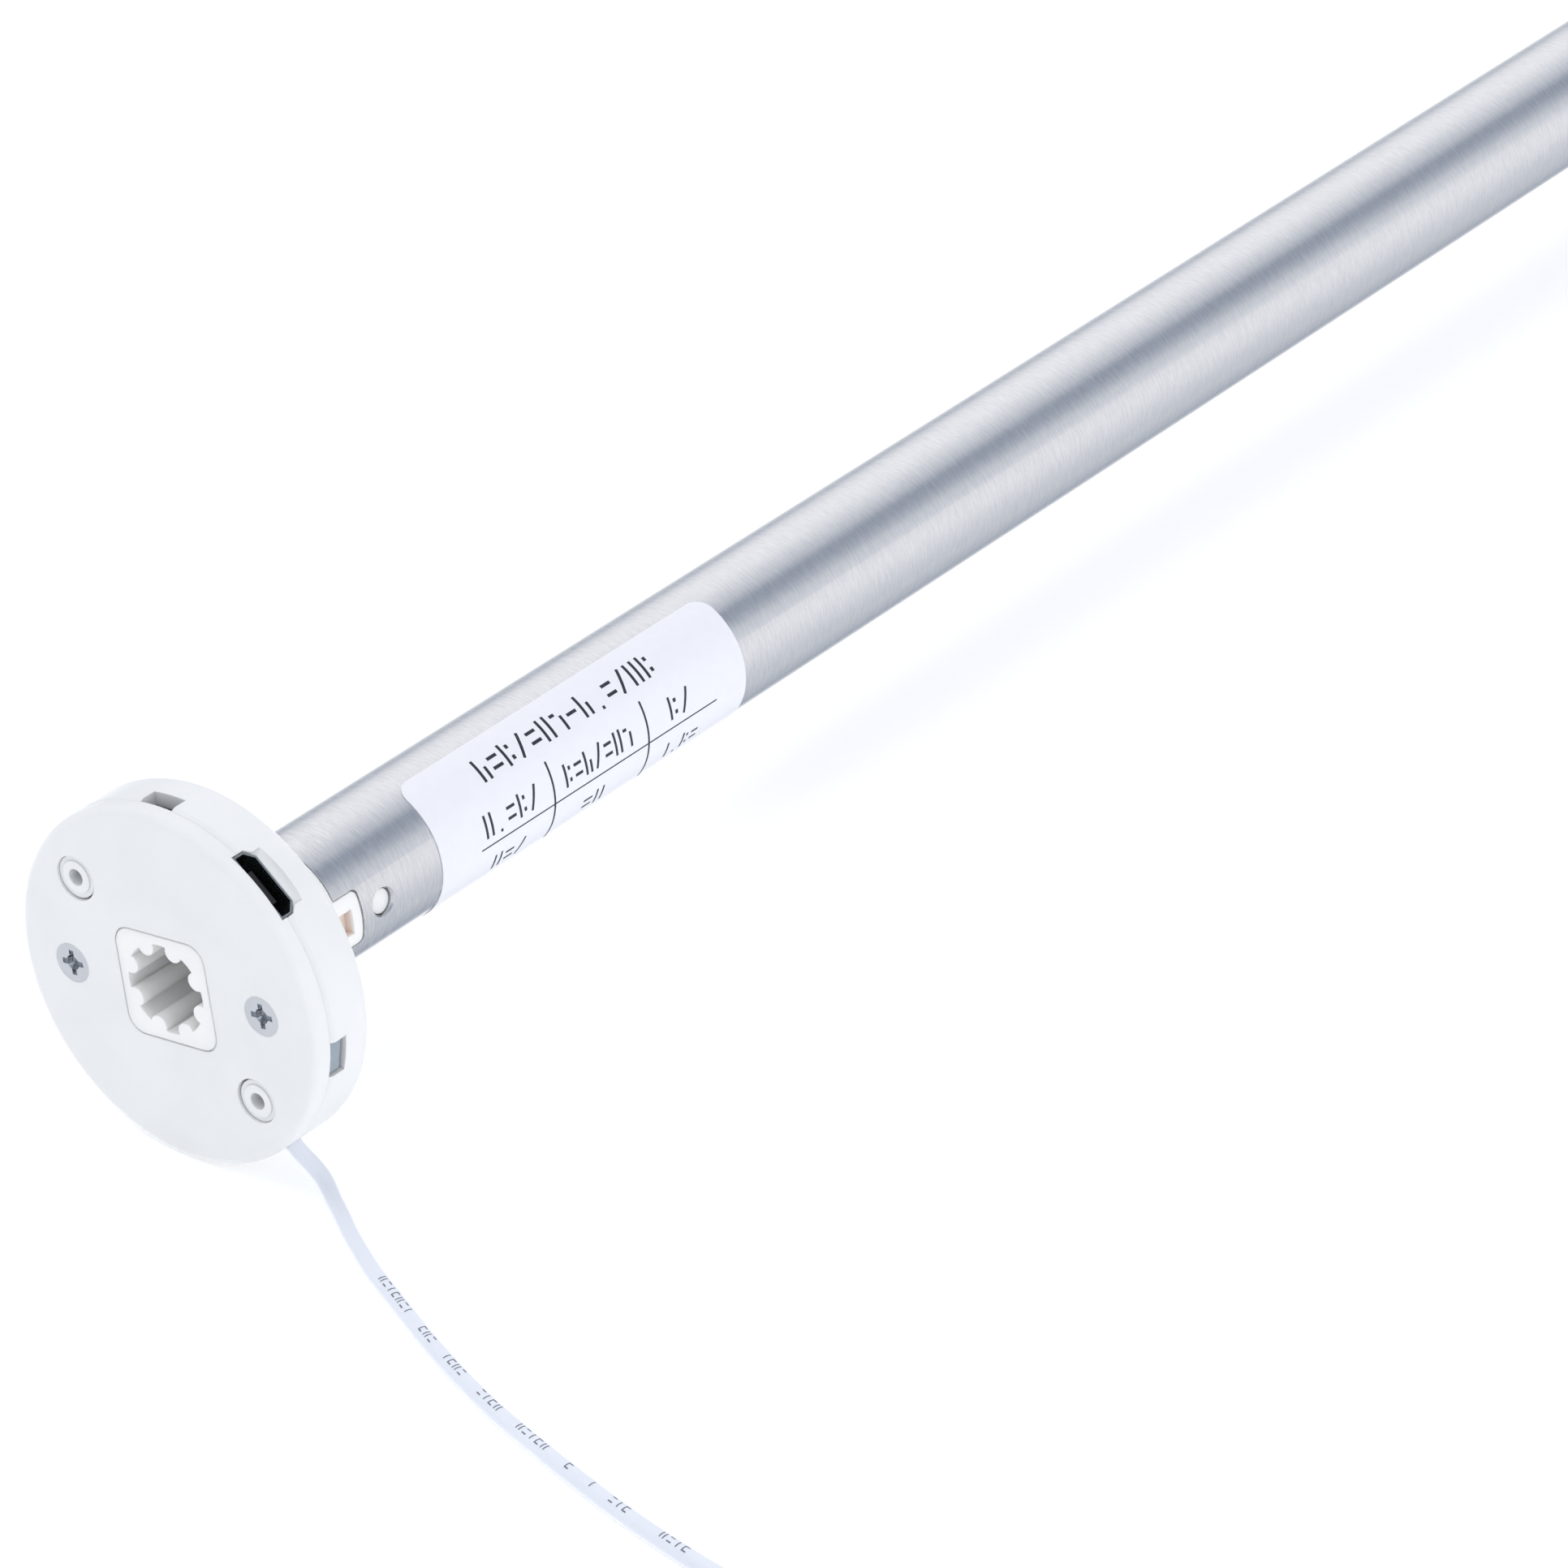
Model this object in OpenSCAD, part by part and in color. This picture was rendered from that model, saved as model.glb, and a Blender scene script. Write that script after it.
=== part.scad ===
// Battery roller shutter motor: a round head that screws to a bracket, a slim
// tube with the electronics, cells, motor and gearbox, and a drive wheel.
// +X runs along the tube, away from the bracket. +Z is up. The origin is the
// centre of the head's face, in the mouth of the bracket socket.
// A "clock" angle is measured about +X, from straight up towards -Y.

/* [Head] */
// Diameter of the round head
head_d = 38; // [37.5:0.5:39]
// Thickness of the head along the tube
head_len = 8.3; // [8.3:0.1:8.8]
// Clock angle of the charging port
head_turn = 36.5; // [34:0.5:39]
// Depth of the front cover's skirt, from the face to the seam
cover_len = 2.15; // [2.1:0.05:2.2]
// Thickness of the cover behind the face
cover_wall = 1.5; // [1.4:0.05:1.5]
// Radius of the rounded edge of the face
face_round = 1; // [0.6:0.1:1.2]
// Radius of the rounded edge at the back of the head
back_round = 1.4; // [1:0.1:1.6]
// Width of the groove at the seam
seam_w = 0.7; // [0.5:0.1:0.8]
// Depth of the groove at the seam
seam_depth = 0.2; // [0.2:0.05:0.4]

/* [Bracket socket] */
// Side of the square insert in the face
insert_side = 11.4; // [11.2:0.1:11.5]
// Corner radius of the square insert
insert_corner = 1.9; // [1.8:0.1:2.2]
// Gap around the insert
insert_gap = 0.16; // [0.1:0.02:0.2]
// Diameter of the star socket over its grooves
star_d = 9.6; // [9.2:0.1:9.6]
// Number of grooves in the star socket
star_count = 8; // [8]
// Diameter of each rounded rib in the socket
star_rib_d = 2; // [1.8:0.1:2]
// Depth of the star socket
star_depth = 14; // [10:1:15]

/* [Bracket screws] */
// Pitch circle of the two pilot holes
bracket_pcd = 27.9; // [27.5:0.1:28.2]
// Diameter of each pilot hole
pilot_d = 1.75; // [1.6:0.1:2]
// Diameter of the post around each pilot hole
boss_d = 4.5; // [4.3:0.1:4.6]
// Pitch circle of the two cover screws
screw_pcd = 24.8; // [24.4:0.1:25]
// Diameter of a cover screw's head
screw_head_d = 4.2; // [4:0.1:4.3]

/* [Tube] */
// Outer diameter of the motor tube
tube_d = 15; // [14.9:0.05:15.2]
// Where the tube starts, against the core's shoulder
tube_start = 17.2; // [17:0.1:17.4]
// Wall of the motor tube
tube_wall = 0.75; // [0.7:0.05:0.8]
// Where the tube ends
tube_end = 306; // [306:0.1:306.2]
// Where the notch in the tube ends
notch_end = 20.4; // [20:0.1:21]
// Width of the notch
notch_w = 5.8; // [5.6:0.1:6]
// Where the locking hole is along the tube
lock_x = 23.4; // [23.2:0.1:24]

/* [Rating label] */
// Where the label starts
label_x = 32.1; // [30:0.1:36]
// Length of the label along the tube
label_len = 48; // [40:1:50]
// Clock angle of the label's upper edge
label_from = 10; // [0:1:20]
// How far the label wraps around the tube
label_wrap = 205; // [180:5:240]

/* [Cells] */
// Diameter of each cell
cell_d = 12.2; // [12:0.1:12.2]
// Length of each cell
cell_len = 64; // [62:1:64]

/* [Gearbox] */
// Module of the gear teeth
gear_module = 0.25; // [0.25]
// Teeth on each sun gear
sun_teeth = 9; // [9]
// Teeth on each planet gear
planet_teeth = 18; // [18]

/* [Drive wheel] */
// Diameter of the drive wheel, the bore of the roller tube
wheel_d = 35.4; // [34:0.2:36]
// Width of the drive wheel
wheel_len = 12; // [10:1:12]
// Number of keyways in the wheel's rim
wheel_keys = 4; // [3:1:6]

/* [Antenna lead] */
// Diameter of the antenna lead
lead_d = 1.8; // [1.6:0.1:1.8]

/* [Hidden] */
$fn = 64;
fit = 0.05;                       // small gap between pieces that fit together
head_r = head_d / 2;
tube_r = tube_d / 2;
bore_r = tube_r - tube_wall;      // inside of the tube
key_turn = head_turn + 45;        // clock angle of the notch, its key and the lock
back_wall = 1.5;                  // thickness of the head's back
skirt_r = head_r - 1.5;           // inside of the cover's skirt
case_r = head_r - 1.8;            // inside of the housing, in front of the ledge
ledge_r = head_r - 2.6;           // inside of the housing, behind the ledge
hub_r = 9.4;                      // room round the core in front of its collar
hub_front = 4.9;                  // front of the collar that holds the core
insert_len = 3;                   // depth of the square flange
core_end = 27;                    // end of the core inside the tube
key_end = notch_end - 0.25;
shoulder_gap = 0.1;               // between the core's shoulder and the tube
lock_r = 1.42;                    // locking hole in the tube
pip_r = 1.28;                     // locking pip on the core

board_x = 4.05;                   // front of the ring board in the head
board_t = 0.8;
board_r = case_r - 0.3;
board_hole_r = 8.2;
post_r = 2.3;
screw_r = 0.95;

window_end = 4.4;                 // back edge of the button and light windows
window_w = 4;
button_turn = head_turn - 43.5;
light_turn = head_turn + 59;
window_deep = 4;
usb_w = 7.5;
usb_h = 2.45;
usb_wall = 0.22;
usb_mouth_r = head_r - 0.5;       // how far out the port's mouth lies
usb_len = 5.4;

wire_d = 0.7;
wire_pitch = 0.85;
wires = 5;
wire_z = 5.85;                    // height of the wires in their channel
channel_w = 4.6;
channel_z = 5.45;
wire_turn = key_turn + 180;       // clock angle of the wire channel

control_x = 30;
control_len = 54;
control_w = 11.6;
control_t = 0.8;
cell_x = 92;                      // start of the first cell
cell_gap = 2;
strip_z = cell_d / 2 + 0.1;
strip_t = 0.25;

hall_x = 224.6;
cap_x = 229;
can_x = 232;
can_end = 262;
can_r = 6.4;
can_wall = 0.6;
shaft_r = 0.5;
shaft_fit = 0.02;
bush_r = 1.4;

plate_end = 264;                  // motor plate; the ring gear follows it
ring_end = 294.4;
gear_add = 0.8 * gear_module;     // tooth height above the pitch circle
gear_ded = 1.12 * gear_module;    // tooth depth below it
tooth_root = 0.16;                // half of the tooth's thickness at the root
tooth_mid = 0.15;
tooth_tip = 0.07;
ring_teeth = sun_teeth + 2 * planet_teeth;
planet_orbit = (sun_teeth + planet_teeth) * gear_module / 2;
pin_r = 0.6;
carrier_r = 5.1;
// start of the planets, their width and the thickness of the plate, by stage
stage_x = [265, 271.7, 280.8];
stage_w = [5, 7, 10];
stage_plate = [1.2, 1.5, 3];
plate_gap = 0.2;

output_r = 3;
nose_flange = 1.2;
clip_x = tube_end + nose_flange + 0.2;
clip_t = 0.8;
wheel_x = 309;
wheel_bore = 6.12;                // across the corners of the hexagon

lead_r = lead_d / 2;
lead_turn = 138;                  // clock angle where the lead leaves the rim
lead_x = 3.15;
lead_floor = -head_r + lead_r;    // the lead rests level with the head's rim
lead_sides = 8;
// The lead's route: out of the rim, down to the surface and along it
lead_route = [
    [3.15, -12.65, -14.05], [3.4, -13.6, -15.1], [3.8, -14.6, -16.2],
    [3.9, -15.7, -17.2], [3.4, -17, -17.9], [2.3, -18.7, lead_floor],
    [0.8, -21, lead_floor], [-0.9, -23.5, lead_floor], [-2.4, -26, lead_floor],
    [-4.2, -29.2, lead_floor], [-5.8, -32.6, lead_floor], [-7.3, -35.8, lead_floor],
    [-8.8, -39, lead_floor], [-10.2, -42.2, lead_floor], [-11.5, -45.4, lead_floor],
    [-12.7, -48.6, lead_floor], [-13.8, -51.8, lead_floor], [-14.8, -55.2, lead_floor],
    [-15.7, -58.6, lead_floor], [-16.6, -62, lead_floor], [-17.4, -65.4, lead_floor],
    [-18.2, -68.8, lead_floor], [-18.9, -72.2, lead_floor], [-19.5, -75.6, lead_floor],
    [-20, -79, lead_floor], [-20.4, -82.4, lead_floor], [-20.7, -85.8, lead_floor],
    [-20.9, -89.2, lead_floor]
];
coil_centre = [-32, -93];         // the spare length lies in a flat coil
coil_in = 7.3;
coil_out = 12;

// ---------------------------------------------------------------- helpers

// Stands a shape that is built along +Z along +X, starting at x
module on_axis(x) {
    translate([x, 0, 0]) rotate([0, 90, 0]) children();
}

// Turns the top of the motor to a clock angle
module at_clock(angle) {
    rotate([angle, 0, 0]) children();
}

// A round bar along X, at a height above the axis
module rod(x0, x1, r, z = 0) {
    translate([0, 0, z]) on_axis(x0) cylinder(r = r, h = x1 - x0);
}

// A tube along X
module ring(x0, x1, outer, inner) {
    difference() {
        rod(x0, x1, outer);
        rod(x0 - 1, x1 + 1, inner);
    }
}

// A box given by its low and high corners
module span(low, high) {
    translate(low) cube(high - low);
}

// Part of a tube along X, between two clock angles
module arc_ring(x0, x1, outer, inner, from, wrap) {
    on_axis(x0) rotate([0, 0, 180 + from])
        rotate_extrude(angle = wrap, $fn = 128)
            translate([inner, 0]) square([outer - inner, x1 - x0]);
}

// A square with round corners
module round_square(side, r) {
    square([side, side - 2 * r], center = true);
    square([side - 2 * r, side], center = true);
    for (sx = [-1, 1], sy = [-1, 1])
        translate([sx, sy] * (side / 2 - r)) circle(r);
}

// The square insert's outline as a bar, its corners on the port's clock angle
module insert_bar(x0, x1, grow = 0) {
    at_clock(key_turn) on_axis(x0)
        linear_extrude(x1 - x0)
            round_square(insert_side + 2 * grow, insert_corner + grow);
}

// Both cover screws' places
module at_screws() {
    for (half = [0, 180])
        at_clock(key_turn + half) translate([0, 0, screw_pcd / 2]) children();
}

// Both bracket pilot holes' places
module at_bosses() {
    for (half = [-90, 90])
        at_clock(head_turn + half) translate([0, 0, bracket_pcd / 2]) children();
}

// A cross recess for a screwdriver, in a head whose top is at x
module cross_recess(x, size) {
    for (turn = [0, 90])
        rotate([turn, 0, 0])
            span([x - 0.1, -size / 2, -size / 9], [x + size * 0.38, size / 2, size / 9]);
    on_axis(x - 0.01) cylinder(r1 = size / 3.4, r2 = size / 8, h = size * 0.5);
}

// Outline of the notch in the tube and of the key in it, with two round corners
module tongue(start, end, width, r = 0.6) {
    translate([start, -width / 2]) square([end - r - start, width]);
    translate([start, r - width / 2]) square([end - start, width - 2 * r]);
    for (side = [-1, 1]) translate([end - r, side * (width / 2 - r)]) circle(r);
}

// ---------------------------------------------------------------- gears

function tooth_points(r_root, r_mid, r_tip, turn) = [
    for (p = [[r_root, -tooth_root], [r_mid, -tooth_mid], [r_tip, -tooth_tip],
              [r_tip, tooth_tip], [r_mid, tooth_mid], [r_root, tooth_root]])
        let (a = turn + p[1] / p[0] * 180 / PI)
            [p[0] * cos(a), p[0] * sin(a)]
];

function gear_points(teeth, depth, height) = let (r = teeth * gear_module / 2) [
    for (i = [0 : teeth - 1])
        each tooth_points(r + depth, r, r + height, 360 * i / teeth)
];

module outer_teeth(teeth) {
    polygon(gear_points(teeth, -gear_ded, gear_add));
}

module inner_teeth() {
    polygon(gear_points(ring_teeth, gear_ded, -gear_add));
}

module sun(x0, x1) {
    on_axis(x0) linear_extrude(x1 - x0) outer_teeth(sun_teeth);
}

// One planet of a stage, at its place and in mesh with the sun and the ring
module planet(stage, place) {
    color("ivory") rotate([120 * place, 0, 0])
        on_axis(stage_x[stage]) translate([planet_orbit, 0, 0])
            rotate([0, 0, 180 + 180 / planet_teeth])
                difference() {
                    linear_extrude(stage_w[stage]) outer_teeth(planet_teeth);
                    translate([0, 0, -1])
                        cylinder(r = pin_r + fit, h = stage_w[stage] + 2);
                }
}

function plate_x(stage) = stage_x[stage] + stage_w[stage] + plate_gap;

// A plate with three pins that carry a stage's planets
module carrier_plate(stage) {
    rod(plate_x(stage), plate_x(stage) + stage_plate[stage], carrier_r);
    for (place = [0 : 2])
        rotate([120 * place, 0, 0])
            rod(stage_x[stage], plate_x(stage) + 0.1, pin_r, -planet_orbit);
}

// A carrier that drives the next stage's sun
module carrier(stage) {
    color("gainsboro") {
        carrier_plate(stage);
        sun(plate_x(stage) + stage_plate[stage] - 0.1, plate_x(stage + 1) - plate_gap);
    }
}

// ---------------------------------------------------------------- head

module head_cover() {
    color("white") difference() {
        on_axis(0) rotate_extrude($fn = 160) difference() {
            union() {
                square([head_r - face_round, cover_len]);
                translate([0, face_round]) square([head_r, cover_len - face_round]);
                translate([head_r - face_round, face_round]) circle(face_round);
            }
            translate([0, cover_wall]) square([skirt_r, cover_len]);
            translate([0, cover_len]) square([head_r + 1, 2]);
        }
        insert_bar(-1, cover_wall + 1, insert_gap);
        at_bosses() translate([0, 0, -0.08]) rod(-1, cover_len, boss_d / 2 + 0.12);
        at_screws() {
            rod(-1, cover_len, screw_r + 0.15);
            on_axis(-0.01) cylinder(r1 = screw_head_d / 2 + 0.06, r2 = screw_r + 0.1, h = 1.3);
        }
        at_clock(head_turn)
            span([cover_wall, -usb_w / 2 - 0.08, 12], [cover_len + 1, usb_w / 2 + 0.08, head_r + 1]);
    }
}

module housing_shell() {
    on_axis(0) rotate_extrude($fn = 160) difference() {
        union() {
            translate([0, cover_len]) square([head_r - seam_depth, seam_w + 0.1]);
            polygon([[0, cover_len + seam_w / 3], [head_r - seam_depth, cover_len + seam_w / 3],
                     [head_r, cover_len + seam_w], [0, cover_len + seam_w]]);
            translate([0, cover_len + seam_w])
                square([head_r, head_len - back_round - cover_len - seam_w]);
            translate([0, head_len - back_round]) square([head_r - back_round, back_round]);
            translate([head_r - back_round, head_len - back_round]) circle(back_round);
        }
        square([hub_r, hub_front]);
        square([case_r, board_x + board_t]);
        translate([hub_r, 0]) square([ledge_r - hub_r, head_len - back_wall]);
    }
}

module head_housing() {
    back = head_len - back_wall + 0.1;
    color("whitesmoke") difference() {
        union() {
            housing_shell();
            at_screws() rod(cover_wall, back, post_r);
            at_bosses() {
                rod(0.25, back, boss_d / 2);
                rod(0.1, 0.3, boss_d / 2 - 0.5);
            }
        }
        rod(0, head_len + 1, tube_r + fit);
        at_bosses() rod(-1, head_len - 0.8, pilot_d / 2);
        at_screws() rod(0, head_len - 1.2, screw_r + fit);
        // windows for the button and the light
        at_clock(button_turn)
            span([1, -window_w / 2, head_r - window_deep], [window_end, window_w / 2, head_r + 1]);
        at_clock(light_turn)
            span([1, -window_w / 2, head_r - window_deep], [window_end, window_w / 2, head_r + 1]);
        // mouth of the charging port, with a scoop for the plug behind it
        at_clock(head_turn) {
            radial(board_x - usb_h, 12, 8) mirror([1, 0]) usb_outline(-0.08);
            translate([board_x - 0.1, 0, head_r + 0.4]) rotate([90, 0, 0])
                cylinder(r = 1.1, h = 6.4, center = true);
        }
        at_clock(lead_turn) translate([lead_x, 0, 12]) cylinder(r = lead_r + 0.1, h = 10);
    }
}

// The star socket's outline
module star() {
    difference() {
        circle(d = star_d);
        for (i = [0 : star_count - 1])
            rotate([0, 0, (i + 0.5) * 360 / star_count])
                translate([star_d / 2 - 0.15, 0]) circle(d = star_rib_d);
    }
}

module socket_core() {
    color("white") difference() {
        union() {
            insert_bar(0, 0.2);
            insert_bar(0.15, insert_len + 0.1, insert_gap - 0.03);
            rod(insert_len, tube_start - shoulder_gap, tube_r - 0.03);
            rod(tube_start - 0.2, core_end, bore_r - fit);
            // key that fills the notch of the tube
            intersection() {
                rod(tube_start - 1.5, key_end + 1, tube_r);
                at_clock(key_turn) translate([0, 0, 4])
                    linear_extrude(5) tongue(tube_start - 1, key_end, notch_w - 0.24);
            }
            // lock pip in the hole of the tube
            at_clock(key_turn) translate([lock_x, 0, 6]) cylinder(r = pip_r, h = tube_r - 6.55);
        }
        // moat round the lock pip
        at_clock(key_turn) translate([lock_x, 0, 6]) difference() {
            cylinder(r = lock_r, h = 3);
            translate([0, 0, -1]) cylinder(r = pip_r, h = 5);
        }
        at_clock(key_turn) on_axis(-1) linear_extrude(star_depth + 1) star();
        // pocket in the key
        at_clock(key_turn) span([15.4, -1.3, tube_r - 1.1], [18.9, 1.3, tube_r + 1]);
        // channel for the wires, closed inside the collar
        at_clock(wire_turn) {
            span([insert_len, -channel_w / 2, channel_z], [hub_front + 0.4, channel_w / 2, tube_r + 1]);
            span([insert_len, -channel_w / 2, channel_z], [core_end + 1, channel_w / 2, 6.5]);
            span([tube_start - 0.05, -channel_w / 2, channel_z],
                 [core_end + 1, channel_w / 2, tube_r + 1]);
        }
    }
}

module cover_screws() {
    color("silver") at_screws() difference() {
        union() {
            on_axis(0.06) cylinder(r1 = screw_head_d / 2, r2 = screw_r, h = 1.15);
            rod(1, 6.6, screw_r);
        }
        cross_recess(0.06, 2.7);
    }
}

module head_board() {
    color("seagreen") difference() {
        ring(board_x, board_x + board_t, board_r, board_hole_r);
        at_screws() rod(board_x - 1, board_x + 2, post_r + 0.2);
        at_bosses() rod(board_x - 1, board_x + 2, boss_d / 2 + 0.2);
        at_clock(lead_turn) span([board_x - 1, -1.8, 15.6], [board_x + 2, 1.8, 20]);
    }
}

// Outline of the charging port, seen from outside; x runs along the motor
module usb_outline(inset) {
    w = usb_w / 2 - inset;
    h = usb_h - 2 * inset;
    cut = 1 - inset / 2;
    translate([0, inset])
        polygon([[-w, 0], [w, 0], [w, h - cut], [w - cut, h], [cut - w, h], [-w, h - cut]]);
}

// Stands a flat outline radially, with its y along X
module radial(x, r0, height) {
    translate([x, 0, r0]) rotate([0, 0, -90]) linear_extrude(height) children();
}

module usb_shell() {
    color("silver") at_clock(head_turn) difference() {
        radial(board_x - usb_h, usb_mouth_r - usb_len, usb_len) mirror([1, 0]) usb_outline(0);
        radial(board_x - usb_h, usb_mouth_r - usb_len + usb_wall, usb_len)
            mirror([1, 0]) usb_outline(usb_wall);
    }
}

module usb_tongue() {
    back = usb_mouth_r - usb_len + usb_wall;
    color("black") at_clock(head_turn) {
        radial(board_x - usb_h, back + 0.02, 1) mirror([1, 0]) usb_outline(usb_wall + 0.03);
        span([2.5, -1.9, back + 0.9], [3.1, 1.9, usb_mouth_r - 0.8]);
    }
}

module button_switch() {
    color("dimgray") at_clock(button_turn) difference() {
        span([1.7, -2.1, 12.4], [board_x, 2.1, 15.6]);
        translate([3.15, 0, 14]) cylinder(r = 0.7, h = 3);
    }
}

module setting_button() {
    color("black") at_clock(button_turn) {
        span([2.4, -1.5, 16], [board_x - 0.15, 1.5, head_r - 1.2]);
        translate([3.15, 0, 14.8]) cylinder(r = 0.6, h = 1.4);
    }
}

module status_led() {
    color("lightyellow") at_clock(light_turn)
        span([board_x - 0.7, -0.8, 14.6], [board_x, 0.8, 15.4]);
}

module light_guide() {
    color("lightsteelblue") at_clock(light_turn)
        span([2.35, -1.75, 15.8], [board_x - 0.02, 1.75, head_r - 0.45]);
}

// ---------------------------------------------------------------- antenna

module lead_bush() {
    color("white") at_clock(lead_turn) translate([lead_x, 0, 0]) {
        translate([0, 0, 16.2]) cylinder(r = lead_r + 0.06, h = head_r - 0.1 - 16.2);
        translate([0, 0, 15.9]) cylinder(r = 1.45, h = 0.8);
    }
}

function unit(v) = v / norm(v);

// Direction of the route at point i
function heading(route, i) =
    i == 0 ? unit(route[1] - route[0])
    : i == len(route) - 1 ? unit(route[i] - route[i - 1])
    : unit(unit(route[i + 1] - route[i]) + unit(route[i] - route[i - 1]));

// A ring of points around the route at point i, square to it
function lead_ring(route, i) =
    let (t = heading(route, i),
         side = unit(cross(t, [0, 0, 1])),
         up = cross(side, t))
    [for (k = [0 : lead_sides - 1])
        let (a = 360 * (k + 0.5) / lead_sides)
            route[i] + lead_r * (cos(a) * side + sin(a) * up)];

module antenna_lead() {
    n = len(lead_route);
    points = [for (i = [0 : n - 1]) each lead_ring(lead_route, i)];
    walls = [
        for (i = [0 : n - 2], k = [0 : lead_sides - 1])
            let (a = i * lead_sides + k,
                 b = i * lead_sides + (k + 1) % lead_sides)
                [a, b, b + lead_sides, a + lead_sides]
    ];
    start = [for (k = [lead_sides - 1 : -1 : 0]) k];
    finish = [for (k = [0 : lead_sides - 1]) (n - 1) * lead_sides + k];
    color("whitesmoke") polyhedron(points, concat([start], walls, [finish]));
}

module antenna_coil() {
    color("whitesmoke") translate([coil_centre[0], coil_centre[1], -head_r])
        rotate_extrude() translate([coil_in, 0]) square([coil_out - coil_in, lead_d]);
}

// ---------------------------------------------------------------- tube

// Places of the screws that hold the gearbox nose in the tube
module at_end_screws() {
    for (turn = [0, 120, 240]) at_clock(key_turn + turn) translate([301, 0, 0]) children();
}

module motor_tube() {
    color("silver") difference() {
        ring(tube_start, tube_end, tube_r, bore_r);
        at_clock(key_turn) {
            translate([0, 0, 4]) linear_extrude(5) tongue(0, notch_end, notch_w);
            translate([lock_x, 0, 4]) cylinder(r = lock_r, h = 5);
            translate([lock_x, 0, tube_r - 0.3]) cylinder(r1 = lock_r, r2 = lock_r + 0.3, h = 0.41);
        }
        at_end_screws() {
            translate([0, 0, 5]) cylinder(r = 0.85, h = 5);
            translate([0, 0, tube_r - 0.65]) cylinder(r1 = 0.85, r2 = 1.6, h = 0.75);
        }
    }
}

module rating_label() {
    color("white")
        arc_ring(label_x, label_x + label_len, tube_r + 0.1, tube_r, label_from, label_wrap);
}

// ---------------------------------------------------------------- electronics

module wire_harness() {
    color("firebrick") at_clock(wire_turn)
        for (i = [0 : wires - 1])
            translate([0, (i - (wires - 1) / 2) * wire_pitch, 0]) {
                rod(board_x - 0.6, control_x + 0.5, wire_d / 2, wire_z);
                translate([board_x - 0.35, 0, wire_z]) cylinder(d = wire_d, h = 3);
            }
}

module harness_plug() {
    color("ivory") at_clock(wire_turn)
        span([control_x + 0.5, -2.2, control_t / 2], [control_x + 5, 2.2, 6.2]);
}

module control_board() {
    color("seagreen") at_clock(wire_turn)
        span([control_x, -control_w / 2, -control_t / 2],
             [control_x + control_len, control_w / 2, control_t / 2]);
}

module board_chips() {
    top = control_t / 2;
    color("black") at_clock(wire_turn) {
        span([40, -2.5, top], [45, 2.5, top + 0.9]);
        span([49, -4.4, top], [53, 0.6, top + 1.4]);
        span([49, 2, top], [51, 4, top + 1]);
        span([56, -3.5, top], [63, 3.5, top + 2]);
        span([36, 3, -top - 1], [40, 5, -top]);
        span([44, -3, -top - 1.2], [51, 2, -top]);
    }
}

module board_capacitor() {
    color("darkslategray") at_clock(wire_turn)
        rod(68, 77, 2.5, control_t / 2 + 2.5);
}

module battery_cell(first) {
    x = cell_x + (first ? 0 : cell_len + cell_gap);
    color("steelblue") {
        rod(x, x + cell_len - 1, cell_d / 2);
        rod(x + cell_len - 1.1, x + cell_len, 2.5);
    }
}

module cell_insulators() {
    last = cell_x + 2 * cell_len + cell_gap;
    color("gold") {
        rod(cell_x - 0.8, cell_x, bore_r - 0.1);
        ring(cell_x + cell_len - 0.9, cell_x + cell_len - 0.1, cell_d / 2, 2.6);
        rod(cell_x + cell_len + 0.1, cell_x + cell_len + 1.9, 3);
        rod(last + 0.02, last + 0.8, cell_d / 2);
    }
}

module power_strip() {
    color("goldenrod") at_clock(wire_turn)
        span([cell_x, -1.5, strip_z], [hall_x - 0.1, 1.5, strip_z + strip_t]);
}

// ---------------------------------------------------------------- motor

module hall_board() {
    color("seagreen") rod(hall_x, hall_x + 0.6, bore_r - 0.25);
}

module encoder_magnet() {
    color("dimgray") ring(hall_x + 2, hall_x + 3.8, 3.4, shaft_r + 0.01);
}

module motor_end_cap() {
    color("black") difference() {
        union() {
            rod(cap_x, can_x, can_r);
            rod(can_x - 0.1, can_x + 1.5, can_r - can_wall - fit);
        }
        rod(cap_x - 1, can_x + 2, bush_r + 0.01);
        rod(cap_x + 2.6, can_x + 2, 3.4);
    }
}

module motor_can() {
    color("silver") difference() {
        rod(can_x, can_end, can_r);
        rod(can_x - 1, can_end - 1, can_r - can_wall);
        rod(can_x, can_end + 1, bush_r + 0.01);
        for (side = [-1, 1]) rod(can_end - 2, can_end + 1, 0.85, side * 4);
    }
}

module stator_magnets() {
    color("dimgray") for (from = [20, 200])
        arc_ring(can_x + 4.5, can_end - 3, can_r - can_wall - 0.02, 4.6, from, 140);
}

module motor_bushes() {
    color("darkgoldenrod") {
        ring(cap_x + 0.4, cap_x + 2.6, bush_r, shaft_r + shaft_fit);
        ring(can_end - 2, can_end + 0.5, bush_r, shaft_r + shaft_fit);
    }
}

module brushes() {
    color("dimgray") for (turn = [0, 180])
        at_clock(turn) {
            span([can_x + 2.2, -0.6, 1.58], [can_x + 4, 0.6, 4]);
            span([can_x + 1.5, -0.6, 3.7], [can_x + 4, 0.6, 4]);
        }
}

module vibration_rings() {
    color("black") for (x = [can_x + 3, can_end - 5])
        ring(x, x + 2.5, bore_r - 0.02, can_r + 0.01);
}

module rotor_shaft() {
    color("silver") rod(hall_x + 1.4, stage_x[0] + stage_w[0], shaft_r);
}

module rotor_core() {
    color("slategray") difference() {
        ring(can_x + 6.5, can_end - 5, 4.3, shaft_r + 0.01);
        for (turn = [0, 120, 240])
            at_clock(turn) span([can_x, -0.6, 1.8], [can_end, 0.6, 6]);
    }
}

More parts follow.
